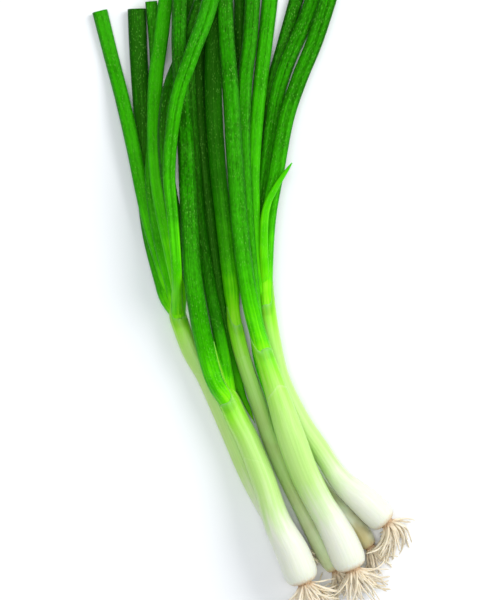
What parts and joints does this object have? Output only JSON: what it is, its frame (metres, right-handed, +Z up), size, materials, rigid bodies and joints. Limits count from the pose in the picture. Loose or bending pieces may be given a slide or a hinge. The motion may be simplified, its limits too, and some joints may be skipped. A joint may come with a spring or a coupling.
{
  "type": "spring onion bunch",
  "caption": "Loose bunch of fresh spring onions lying flat: white bulbs with tan roots, pale shanks and hollow green leaves cut straight across.",
  "frame": {"origin": "centre of the bunch's plan box, on the surface that it lies on", "axes": "+Y along the bunch's length towards the leaf ends, +Z up from the surface"},
  "size_m": [0.1232, 0.3268, 0.0294],
  "materials": {
    "stalk": "satin plant skin, white at the bulb and pale green up the shank",
    "leaf": "satin green leaf with fine lengthwise veins",
    "root": "matt tan root"
  },
  "bodies": {
    "root": {"stalk_a": "stalk", "stalk_b": "stalk", "stalk_c": "stalk", "stalk_d": "stalk", "stalk_e": "stalk", "stalk_f": "stalk", "leaves_a": "leaf", "leaves_b": "leaf", "leaves_c": "leaf", "leaves_d": "leaf", "leaves_e": "leaf", "leaves_f": "leaf", "outer_leaf_d": "leaf", "roots_a": "root", "roots_b": "root", "roots_c": "root", "roots_d": "root", "roots_e": "root", "roots_f": "root"}
  },
  "joints": []
}
